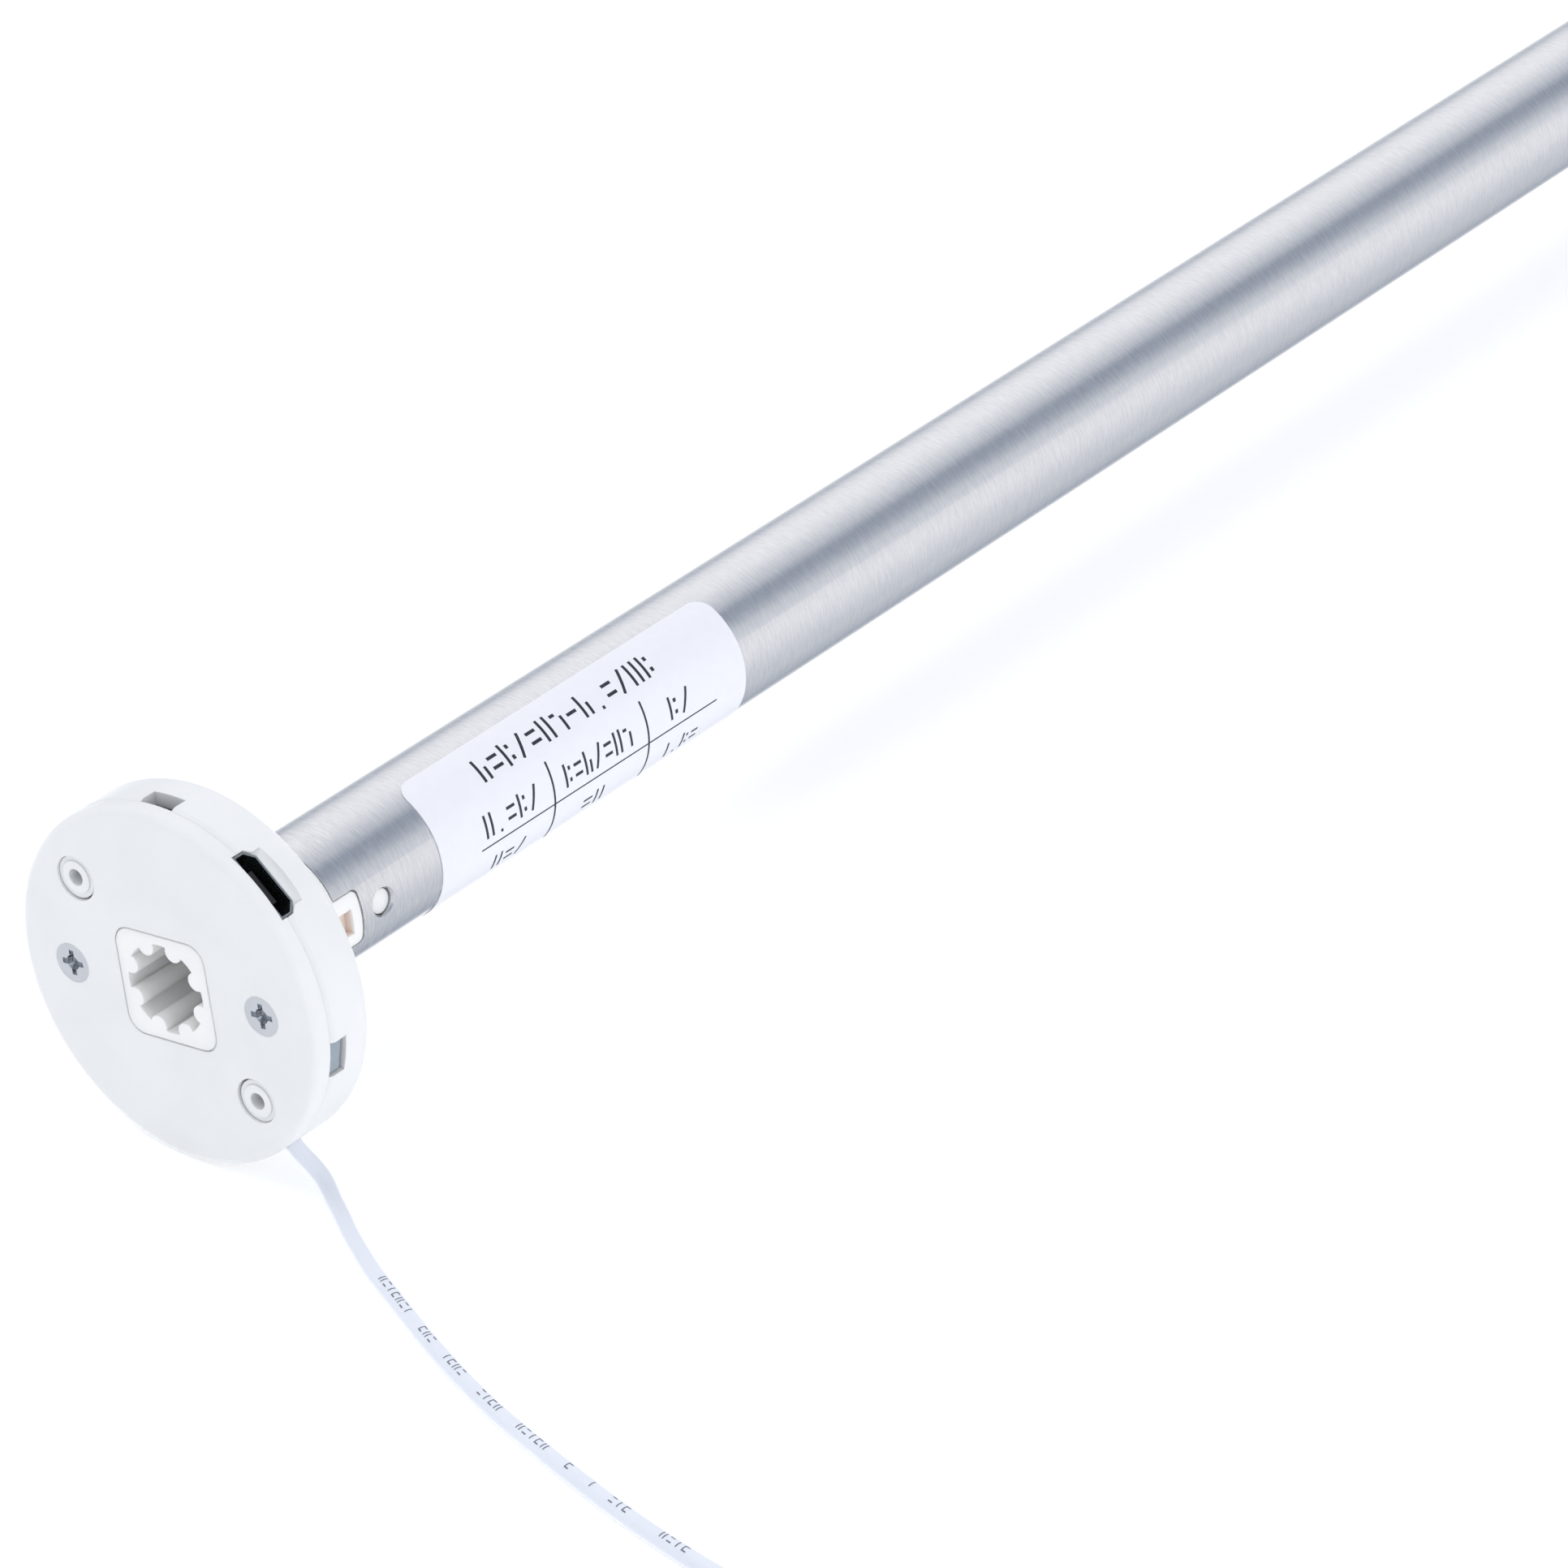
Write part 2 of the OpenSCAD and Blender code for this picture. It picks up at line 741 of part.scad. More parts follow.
module rotor_windings() {
    color("chocolate") {
        ring(can_x + 5.2, can_x + 6.5, 3.8, 1.7);
        ring(can_end - 5, can_end - 3.7, 3.8, 1.7);
        for (turn = [0, 120, 240])
            at_clock(turn) span([can_x + 6.4, -0.5, 1.9], [can_end - 4.9, 0.5, 3.7]);
    }
}

module commutator() {
    color("orange") difference() {
        ring(can_x + 1.8, can_x + 4.4, 1.5, shaft_r + 0.01);
        for (turn = [60, 180, 300])
            at_clock(turn) span([can_x, -0.1, 1.2], [can_x + 5, 0.1, 2]);
    }
}

module motor_pinion() {
    color("goldenrod") difference() {
        sun(can_end + 2.8, stage_x[0] + stage_w[0]);
        rod(can_end, stage_x[1], shaft_r + 0.01);
    }
}

// ---------------------------------------------------------------- gearbox

module gearbox_plate() {
    color("silver") difference() {
        rod(can_end + 0.02, plate_end, bore_r - fit);
        rod(can_end - 1, plate_end + 1, bush_r + 0.15);
        for (side = [-1, 1]) {
            rod(can_end - 1, plate_end + 1, 0.85, side * 4);
            rod(plate_end - 0.7, plate_end + 1, 1.45, side * 4);
        }
    }
}

module plate_screws() {
    color("dimgray") for (side = [-1, 1]) {
        rod(can_end - 2.4, plate_end - 0.6, 0.8, side * 4);
        rod(plate_end - 0.68, plate_end - 0.05, 1.4, side * 4);
    }
}

module ring_gear() {
    color("ivory") difference() {
        rod(plate_end, ring_end, bore_r - fit);
        on_axis(plate_end - 1) linear_extrude(ring_end - plate_end + 2) inner_teeth();
    }
}

module output_carrier() {
    hex_end = wheel_x + wheel_len - 0.5;
    color("silver") difference() {
        union() {
            carrier_plate(2);
            rod(plate_x(2) + 1, wheel_x - 0.1, output_r);
            on_axis(wheel_x - 0.2) cylinder(r = output_r, h = hex_end - wheel_x + 0.2, $fn = 6);
        }
        difference() {
            rod(clip_x, clip_x + clip_t, output_r + 1);
            rod(clip_x - 1, clip_x + clip_t + 1, 2.5);
        }
        rod(wheel_x + 4, hex_end + 1, 1.25);
    }
}

module gearbox_nose() {
    color("silver") difference() {
        union() {
            rod(ring_end, tube_end + 0.1, bore_r - fit);
            rod(tube_end, tube_end + nose_flange, tube_r);
        }
        rod(ring_end - 1, tube_end + 5, 4.01);
        at_end_screws() translate([0, 0, 4.5]) cylinder(r = 0.75, h = 5);
    }
}

module output_bush() {
    color("darkgoldenrod")
        ring(ring_end + 0.1, tube_end + nose_flange, 4, output_r + 0.03);
}

module end_screws() {
    color("silver") at_end_screws() difference() {
        union() {
            translate([0, 0, 4.9]) cylinder(r = 0.7, h = 2.2);
            translate([0, 0, tube_r - 0.7]) cylinder(r1 = 0.7, r2 = 1.4, h = 0.65);
        }
        translate([0, 0, tube_r - 0.5]) cylinder(r = 0.5, h = 1, $fn = 6);
    }
}

module shaft_clip() {
    color("dimgray") difference() {
        ring(clip_x + 0.1, clip_x + clip_t - 0.1, 4.2, 2.55);
        at_clock(180) span([clip_x - 1, -1.6, 0], [clip_x + 2, 1.6, 6]);
    }
}

module drive_wheel() {
    wheel_r = wheel_d / 2;
    rim = 1.8;
    hub = 6.2;
    end = wheel_x + wheel_len;
    color("dimgray") difference() {
        on_axis(wheel_x) rotate_extrude($fn = 128) {
            difference() {
                square([wheel_r, wheel_len]);
                translate([wheel_r, 0]) rotate([0, 0, 45]) square(1.2, center = true);
                translate([wheel_r, wheel_len]) rotate([0, 0, 45]) square(1.2, center = true);
                translate([hub, -1]) square([wheel_r - rim - hub, 5]);
                translate([hub, wheel_len - 4]) square([wheel_r - rim - hub, 5]);
            }
        }
        on_axis(wheel_x - 1) cylinder(d = wheel_bore, h = wheel_len + 2, $fn = 6);
        for (i = [0 : wheel_keys - 1]) {
            at_clock(360 * i / wheel_keys)
                span([wheel_x - 1, -1.5, wheel_r - 1.2], [end + 1, 1.5, wheel_r + 1]);
            at_clock(360 * (i + 0.5) / wheel_keys) rod(wheel_x, end, 3.3, 11);
        }
    }
}

module wheel_screw() {
    end = wheel_x + wheel_len;
    color("silver") difference() {
        union() {
            rod(wheel_x + 5, end + 0.05, 1.2);
            rod(end + 0.02, end + 2, 3.6);
        }
        mirror([1, 0, 0]) cross_recess(-end - 2, 3);
    }
}

// ---------------------------------------------------------------- assembly

head_cover();
head_housing();
socket_core();
cover_screws();
head_board();
usb_shell();
usb_tongue();
button_switch();
setting_button();
status_led();
light_guide();
lead_bush();
antenna_lead();
antenna_coil();
wire_harness();
motor_tube();
rating_label();
control_board();
board_chips();
board_capacitor();
harness_plug();
battery_cell(true);  // battery_cell_1
battery_cell(false);  // battery_cell_2
cell_insulators();
power_strip();
hall_board();
encoder_magnet();
motor_end_cap();
motor_can();
stator_magnets();
motor_bushes();
brushes();
vibration_rings();
rotor_shaft();
rotor_core();
rotor_windings();
commutator();
motor_pinion();
gearbox_plate();
plate_screws();
ring_gear();
planet(0, 0);  // planet_1a
planet(0, 1);  // planet_1b
planet(0, 2);  // planet_1c
carrier(0);  // carrier_1
planet(1, 0);  // planet_2a
planet(1, 1);  // planet_2b
planet(1, 2);  // planet_2c
carrier(1);  // carrier_2
planet(2, 0);  // planet_3a
planet(2, 1);  // planet_3b
planet(2, 2);  // planet_3c
output_carrier();
gearbox_nose();
output_bush();
end_screws();
shaft_clip();
drive_wheel();
wheel_screw();
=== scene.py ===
"""Looks of a small battery roller shutter motor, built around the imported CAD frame."""
import math

import bpy
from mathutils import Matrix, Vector


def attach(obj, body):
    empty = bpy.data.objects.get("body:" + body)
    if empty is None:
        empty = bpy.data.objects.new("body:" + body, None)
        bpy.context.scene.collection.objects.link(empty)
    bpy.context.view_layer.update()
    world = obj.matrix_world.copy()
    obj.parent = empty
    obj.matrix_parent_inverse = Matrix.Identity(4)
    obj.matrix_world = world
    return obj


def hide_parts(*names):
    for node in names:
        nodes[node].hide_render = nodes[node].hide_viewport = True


MM = 0.001
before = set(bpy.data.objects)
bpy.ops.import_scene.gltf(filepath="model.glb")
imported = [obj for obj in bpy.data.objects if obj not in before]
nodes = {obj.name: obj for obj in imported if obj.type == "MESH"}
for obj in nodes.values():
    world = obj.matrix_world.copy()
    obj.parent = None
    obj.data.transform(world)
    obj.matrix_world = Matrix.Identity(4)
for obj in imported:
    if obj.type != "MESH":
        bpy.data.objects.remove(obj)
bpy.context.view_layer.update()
scene = bpy.context.scene
scene.view_settings.view_transform = "Standard"
scene.view_settings.look = "None"

# Sizes are in millimetres, except where a name says otherwise.
TUBE_R = 7.5          # outer radius of the tube
LABEL_R = 7.6         # outside of the label
FLOOR_Z = -19.0       # what the head stands on


def linear(*rgb):
    """8-bit display colour to the linear colour that the shaders take."""
    out = []
    for c in rgb:
        c = c / 255
        out.append(c / 12.92 if c <= 0.04045 else ((c + 0.055) / 1.055) ** 2.4)
    return tuple(out)


def on_tube(x, clock, r):
    """Point in metres; clock runs from straight up towards -Y, seen along +X."""
    a = math.radians(clock)
    return (x * MM, -r * math.sin(a) * MM, r * math.cos(a) * MM)


# ------------------------------------------------------------------ camera
CAMERA_PLACE = (-413.576, -397.900, 371.960)
CAMERA_TILT = 58.567          # degrees from looking straight down
CAMERA_TURN = -52.026         # degrees about +Z
FOCAL_LENGTH = 163.33
SENSOR_WIDTH = 36


def add_camera():
    cam = bpy.data.cameras.new("view")
    cam.lens = FOCAL_LENGTH
    cam.sensor_width = SENSOR_WIDTH
    cam.clip_start = 0.02
    cam.clip_end = 60
    obj = bpy.data.objects.new("view", cam)
    obj.location = [c * MM for c in CAMERA_PLACE]
    obj.rotation_euler = (math.radians(CAMERA_TILT), 0, math.radians(CAMERA_TURN))
    scene.collection.objects.link(obj)
    scene.camera = obj


# ------------------------------------------------------------------ materials
class Shader:
    """A Principled material and short ways to wire procedural detail into it."""

    def __init__(self, name, color, rough, metal=0.0):
        self.mat = bpy.data.materials.new(name)
        self.mat.use_nodes = True
        self.tree = self.mat.node_tree
        self.bsdf = self.tree.nodes["Principled BSDF"]
        self.color = color
        self.rough = rough
        self.bsdf.inputs["Metallic"].default_value = metal
        self.bsdf.inputs["Base Color"].default_value = (*color, 1)
        self.bsdf.inputs["Roughness"].default_value = rough
        self.mat.diffuse_color = (*color, 1)

    def node(self, kind, **values):
        n = self.tree.nodes.new(kind)
        for k, v in values.items():
            if k in n.inputs:
                n.inputs[k].default_value = v
            else:
                setattr(n, k, v)
        return n

    def link(self, a, b):
        self.tree.links.new(a, b)

    def coords(self, scale):
        """Object coordinates times scale, which is per metre and may differ by axis."""
        tex = self.node("ShaderNodeTexCoord")
        m = self.node("ShaderNodeMapping")
        m.inputs["Scale"].default_value = scale
        self.link(tex.outputs["Object"], m.inputs["Vector"])
        return m.outputs["Vector"]

    def split(self, scale):
        """Object coordinates times scale, one output for each axis."""
        sep = self.node("ShaderNodeSeparateXYZ")
        self.link(self.coords((scale,) * 3), sep.inputs[0])
        return sep.outputs

    def math(self, operation, *values):
        """One calculation on numbers or on other nodes' outputs."""
        m = self.node("ShaderNodeMath", operation=operation)
        for sock, v in zip(m.inputs, values):
            if isinstance(v, (int, float)):
                sock.default_value = v
            else:
                self.link(v, sock)
        return m.outputs[0]

    def noise(self, scale, detail=3.0, rough=0.55):
        """Noise at that scale per metre, one number or one for each axis."""
        if not isinstance(scale, tuple):
            scale = (scale,) * 3
        n = self.node("ShaderNodeTexNoise", Scale=1.0, Detail=detail, Roughness=rough)
        self.link(self.coords(scale), n.inputs["Vector"])
        return n.outputs["Fac"]

    def ranged(self, fac, low, high, a=0.3, b=0.7):
        """Maps a..b onto low..high and holds the ends."""
        m = self.node("ShaderNodeMapRange")
        m.inputs["From Min"].default_value = a
        m.inputs["From Max"].default_value = b
        m.inputs["To Min"].default_value = low
        m.inputs["To Max"].default_value = high
        self.link(fac, m.inputs["Value"])
        return m.outputs["Result"]

    def mix(self, fac, a, b):
        """Colour between a and b, each a colour or another node's output."""
        m = self.node("ShaderNodeMix", data_type="RGBA")
        for sock, v in ((m.inputs[6], a), (m.inputs[7], b)):
            if isinstance(v, tuple):
                sock.default_value = (*v, 1)
            else:
                self.link(v, sock)
        self.link(fac, m.inputs[0])
        return m.outputs[2]

    def vary(self, fac, amount, a=0.3, b=0.7):
        """Base colour that runs darker and lighter by that share."""
        dark = tuple(c * (1 - amount) for c in self.color)
        light = tuple(min(1, c * (1 + amount)) for c in self.color)
        out = self.mix(self.ranged(fac, 0, 1, a, b), dark, light)
        self.link(out, self.bsdf.inputs["Base Color"])
        return out

    def roughen(self, fac, spread):
        """Roughness that runs that much below and above the plain value."""
        out = self.ranged(fac, max(0.02, self.rough - spread), self.rough + spread)
        self.link(out, self.bsdf.inputs["Roughness"])

    def soft_edges(self, radius):
        """A normal that rounds sharp edges by that many mm, or None."""
        if not radius:
            return None
        return self.node("ShaderNodeBevel", Radius=radius * MM, samples=4).outputs["Normal"]

    def bump(self, fac, height, strength=1.0, normal=None):
        """Relief of that height in metres."""
        b = self.node("ShaderNodeBump", Strength=strength, Distance=height)
        self.link(fac, b.inputs["Height"])
        if normal is not None:
            self.link(normal, b.inputs["Normal"])
        self.link(b.outputs["Normal"], self.bsdf.inputs["Normal"])
        return b.outputs["Normal"]

    def put(self, **values):
        """Sets inputs of the Principled node; an underscore stands for a space."""
        for k, v in values.items():
            self.bsdf.inputs[k.replace("_", " ")].default_value = v
        return self


def moulded(name, color, rough=0.45, grain=3200, height=6e-6, amount=0.02, glow=0.0,
            soft=0.0):
    """Moulded plastic: fine spark-eroded grain over slow tone changes."""
    s = Shader(name, color, rough)
    slow = s.noise(140, 4)
    fine = s.noise(grain, 3)
    s.vary(slow, amount)
    s.roughen(fine, 0.05)
    first = s.bump(fine, height, 0.5, s.soft_edges(soft))
    s.bump(s.noise(420, 2), height * 4, 0.25, first)
    if glow:
        s.put(Subsurface_Weight=glow, Subsurface_Scale=0.0015,
              Subsurface_Radius=(1.0, 0.9, 0.8))
    return s


def plastic(name, color, *args, **values):
    return moulded(name, color, *args, **values).mat


def metal(name, color, rough=0.3, streak=None, amount=0.06, height=2e-6, soft=0.0):
    """Metal with machining or drawing streaks; streak is the noise scale by axis."""
    s = Shader(name, color, rough, 1.0)
    lines = s.noise(streak or (2600, 2600, 2600), 4)
    stains = s.noise(260, 4)
    s.vary(stains, amount)
    s.roughen(lines, 0.07)
    s.bump(lines, height, 0.6, s.soft_edges(soft))
    return s.mat


def brushed_tube(name):
    """Extruded aluminium, scratch-brushed round its girth, rougher close to the head."""
    s = Shader(name, (0.78, 0.79, 0.80), 0.27, 1.0)
    fine = s.noise((7000, 520, 520), 3, 0.65)
    broad = s.noise((3600, 900, 900), 4, 0.7)
    cloud = s.noise((60, 120, 120), 3)
    lines = s.math("MULTIPLY_ADD", fine, 0.6, s.math("MULTIPLY", broad, 0.4))
    near_head = s.ranged(s.split(1)["X"], 1.0, 0.0, 0.012, 0.040)
    lit = s.mix(s.ranged(lines, 0, 1, 0.36, 0.64), (0.70, 0.71, 0.73), (0.85, 0.855, 0.86))
    scuff = s.noise((3200, 420, 420), 5, 0.75)
    worn = s.mix(s.ranged(scuff, 0, 1, 0.35, 0.65), (0.56, 0.57, 0.60), (0.90, 0.90, 0.90))
    col = s.mix(s.math("MULTIPLY", near_head, 0.6), lit, worn)
    tone = s.mix(s.ranged(cloud, 0, 0.06), col, (0.70, 0.71, 0.73))
    s.link(tone, s.bsdf.inputs["Base Color"])
    s.link(s.ranged(lines, 0.18, 0.27, 0.35, 0.65), s.bsdf.inputs["Roughness"])
    s.bump(lines, 2.2e-6, 0.8)
    tan = s.node("ShaderNodeTangent", direction_type="RADIAL", axis="X")
    s.link(tan.outputs[0], s.bsdf.inputs["Tangent"])
    s.put(Anisotropic=0.6, Anisotropic_Rotation=0.25)
    return s.mat


def film(name, color, rough):
    """Printed label stock: faint paper tooth under a satin film."""
    s = Shader(name, color, rough)
    s.vary(s.noise(700, 4), 0.012)
    s.bump(s.noise(5200, 2), 2e-6, 0.4)
    s.put(Coat_Weight=0.25, Coat_Roughness=0.2)
    return s.mat


def board(name, color):
    """Solder mask over copper tracks that run square to each other."""
    s = Shader(name, color, 0.35)
    wave = s.node("ShaderNodeTexVoronoi", Scale=1.0, distance="CHEBYCHEV")
    s.link(s.coords((900, 900, 900)), wave.inputs["Vector"])
    s.vary(wave.outputs["Distance"], 0.22, 0.1, 0.6)
    s.bump(wave.outputs["Distance"], 1e-5, 0.4)
    return s.mat


def wound(name, color):
    """Enamelled wire lying side by side."""
    s = Shader(name, color, 0.25, 0.85)
    lines = s.node("ShaderNodeTexWave", Scale=1.0, Distortion=0.6, Detail=1.0)
    s.link(s.coords((1400, 500, 500)), lines.inputs["Vector"])
    s.vary(lines.outputs["Fac"], 0.3, 0.1, 0.9)
    s.bump(lines.outputs["Fac"], 6e-5, 0.7)
    return s.mat


WHITE = linear(230, 231, 231)
KEY_CLOCK = 81.5      # degrees, middle of the key on the socket core
POCKET_X = (15.3, 19.0)       # both ends of the pocket in the key
POCKET_HALF = 1.37            # half its width
POCKET_DEPTH = (5.75, 7.2)    # its bottom and where the painted shade fades out, from the axis


def core_plastic_with_pocket_shade(name):
    """White plastic with painted shade and glow: a warmer, darker tone painted at the bottom of the
    key's pocket, for shade in the recess and light through the thin wall.
    """
    s = moulded(name, linear(240, 240, 238), 0.38, grain=2600, glow=0.45, soft=0.16)
    place = s.split(1000)
    clock = math.radians(KEY_CLOCK)

    def across(y, z):
        """Distance from the axis along one direction square to it."""
        return s.math("MULTIPLY_ADD", place["Z"], z, s.math("MULTIPLY", place["Y"], y))

    def fades(value, low, high, where, half_blend):
        return s.ranged(value, low, high, where - half_blend, where + half_blend)

    # Mask of the pocket's bottom, where shade and glow are painted into the colour
    height = across(-math.sin(clock), math.cos(clock))
    side = s.math("ABSOLUTE", across(math.cos(clock), math.sin(clock)))
    limits = (fades(place["X"], 0, 1, POCKET_X[0], 0.05), fades(place["X"], 1, 0, POCKET_X[1], 0.05),
              fades(side, 1, 0, POCKET_HALF, 0.03),
              fades(height, 1, 0, POCKET_DEPTH[1] - 0.025, 0.175),
              fades(height, 0, 1, POCKET_DEPTH[0], 0.15))
    pocket_shade = limits[0]
    for limit in limits[1:]:
        pocket_shade = s.math("MULTIPLY", pocket_shade, limit)
    plain = s.bsdf.inputs["Base Color"].links[0].from_socket
    # Painted shade and glow: the colour is mixed towards a warm darker tone inside the mask
    s.link(s.mix(pocket_shade, plain, linear(236, 222, 213)), s.bsdf.inputs["Base Color"])
    return s.mat


RING = (900, 3200, 3200)      # noise scale of turned end faces and drawn wire

# The record's slots and what makes each one's material
MATERIALS = {
    "white_shell": lambda n: plastic(n, WHITE, 0.42, glow=0.08, soft=0.16),
    "white_core": core_plastic_with_pocket_shade,
    "zinc_screw": lambda n: metal(n, (0.72, 0.74, 0.77), 0.16, (900, 900, 900), 0.04,
                                height=6e-7, soft=0.05),
    "circuit_board": lambda n: board(n, (0.012, 0.085, 0.075)),
    "port_steel": lambda n: metal(n, (0.42, 0.46, 0.46), 0.28, (800, 3600, 3600),
                                  soft=0.04),
    "black_plastic": lambda n: plastic(n, (0.012, 0.012, 0.014), 0.4, amount=0.2),
    "led_lens": lambda n: plastic(n, (0.55, 0.62, 0.66), 0.2, amount=0.05),
    "light_guide": lambda n: plastic(n, linear(146, 158, 167), 0.22, amount=0.10),
    "lead_sheath": lambda n: plastic(n, linear(225, 229, 237), 0.34, grain=1500, glow=0.1),
    "wire_sheath": lambda n: plastic(n, (0.55, 0.03, 0.02), 0.35, amount=0.1),
    "tube_aluminium": brushed_tube,
    "label_film": lambda n: film(n, linear(232, 233, 238), 0.34),
    "can_aluminium": lambda n: metal(n, (0.72, 0.73, 0.74), 0.3, RING),
    "ivory_plastic": lambda n: plastic(n, (0.75, 0.70, 0.58), 0.4),
    "cell_wrap": lambda n: plastic(n, (0.03, 0.16, 0.33), 0.25, amount=0.08),
    "fish_paper": lambda n: plastic(n, (0.60, 0.66, 0.52), 0.7, grain=1800, height=2e-5),
    "flex_film": lambda n: plastic(n, (0.45, 0.20, 0.03), 0.3, amount=0.1),
    "ferrite": lambda n: plastic(n, (0.05, 0.05, 0.055), 0.6, grain=5200, height=2e-5),
    "motor_steel": lambda n: metal(n, (0.60, 0.61, 0.63), 0.28, RING),
    "sintered_bronze": lambda n: metal(n, (0.62, 0.42, 0.24), 0.5, (6000,) * 3, 0.14, 8e-6),
    "carbon": lambda n: plastic(n, (0.03, 0.03, 0.03), 0.5, amount=0.3),
    "rubber_ring": lambda n: plastic(n, (0.02, 0.02, 0.02), 0.65, amount=0.2),
    "shaft_steel": lambda n: metal(n, (0.66, 0.67, 0.69), 0.2, RING),
    "core_steel": lambda n: metal(n, (0.42, 0.43, 0.46), 0.4, (9000, 300, 300), 0.12),
    "copper_wire": lambda n: wound(n, (0.72, 0.26, 0.10)),
    "pinion_brass": lambda n: metal(n, (0.80, 0.58, 0.26), 0.25, RING),
    "black_screw": lambda n: metal(n, (0.05, 0.05, 0.055), 0.38, amount=0.2),
    "gear_plastic": lambda n: plastic(n, (0.80, 0.79, 0.74), 0.36),
    "nose_zinc": lambda n: metal(n, (0.56, 0.57, 0.59), 0.42, (1800,) * 3, 0.1, 8e-6),
    "clip_steel": lambda n: metal(n, (0.30, 0.31, 0.33), 0.3, RING, 0.1),
    "wheel_plastic": lambda n: plastic(n, linear(226, 228, 230), 0.45, grain=2400),
}
made = {}


def material(slot):
    """The material of one of the record's slots, made once."""
    if slot not in made:
        make = MATERIALS.get(slot, lambda n: plastic(n, (0.6, 0.6, 0.6)))
        made[slot] = make(slot)
    return made[slot]


def slot_of(obj):
    """The record's slot name that a node's own material carries."""
    for s in obj.material_slots:
        if s.material:
            return s.material.name.split(".")[0]
    return ""


def finish_nodes():
    """Gives every CAD node the procedural material of its slot."""
    for obj in nodes.values():
        slot = slot_of(obj)
        for s in obj.material_slots:
            s.material = material(slot)


# ------------------------------------------------------------------ mesh help
def add_mesh(name, verts, faces, mat, smooth=True):
    me = bpy.data.meshes.new(name)
    me.from_pydata(verts, [], faces)
    me.validate()
    obj = bpy.data.objects.new(name, me)
    scene.collection.objects.link(obj)
    me.materials.append(mat)
    if smooth:
        me.polygons.foreach_set("use_smooth", [True] * len(me.polygons))
    return obj


def shell(rows_out, rows_in):
    """Closed thin sheet from two grids of points of the same size."""
    nr, nc = len(rows_out), len(rows_out[0])
    verts = [p for r in rows_out for p in r] + [p for r in rows_in for p in r]
    low = nr * nc
    faces = []
    for i in range(nr - 1):
        for j in range(nc - 1):
            a, b = i * nc + j, i * nc + j + 1
            c, d = (i + 1) * nc + j + 1, (i + 1) * nc + j
            faces.append((a, b, c, d))
            faces.append((low + d, low + c, low + b, low + a))
    ring = [(0, j) for j in range(nc)] + [(i, nc - 1) for i in range(1, nr)]
    ring += [(nr - 1, j) for j in range(nc - 2, -1, -1)] + [(i, 0) for i in range(nr - 2, 0, -1)]
    for k, (i, j) in enumerate(ring):
        p, q = ring[k - 1]
        a, b = p * nc + q, i * nc + j
        faces.append((a, low + a, low + b, b))
    return verts, faces


# ------------------------------------------------------------------ label
LABEL_X = (32.1, 80.1)
LABEL_CLOCK = (10.0, 215.0)   # degrees, where the label starts and ends round the tube
CORNER = 2.0                  # radius of its corners
GLUE = 0.004                  # how far the label's underside stays off the tube
LABEL_ROWS = 24
CORNER_STEPS = 8
ARC_STEPS = 72


def make_label():
    """The wrapped label with its four round corners."""
    length = math.radians(LABEL_CLOCK[1] - LABEL_CLOCK[0]) * LABEL_R
    steps = [CORNER * (1 - math.cos(math.pi / 2 * k / CORNER_STEPS))
             for k in range(CORNER_STEPS + 1)]
    inner = [CORNER + (length - 2 * CORNER) * k / ARC_STEPS for k in range(1, ARC_STEPS)]
    arc = steps + inner + [length - s for s in reversed(steps)]
    out, low = [], []
    for s in arc:
        edge = min(s, length - s)
        inset = 0.0
        if edge < CORNER:
            inset = CORNER - math.sqrt(max(0, CORNER ** 2 - (CORNER - edge) ** 2))
        clock = LABEL_CLOCK[0] + math.degrees(s / LABEL_R)
        xs = [LABEL_X[0] + inset + (LABEL_X[1] - LABEL_X[0] - 2 * inset) * k / LABEL_ROWS
              for k in range(LABEL_ROWS + 1)]
        out.append([on_tube(x, clock, LABEL_R) for x in xs])
        low.append([on_tube(x, clock, TUBE_R + GLUE) for x in xs])
    verts, faces = shell(out, low)
    obj = add_mesh("label", verts, faces, material("label_film"))
    obj.data.set_sharp_from_angle(angle=math.radians(40))
    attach(obj, "root")
    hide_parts("rating_label")
    return obj


STROKE_STEP = 0.25            # length of each flat piece of a stroke
INK_SPAN = (-0.002, 0.012)    # underside and top of the ink, from the label's outside


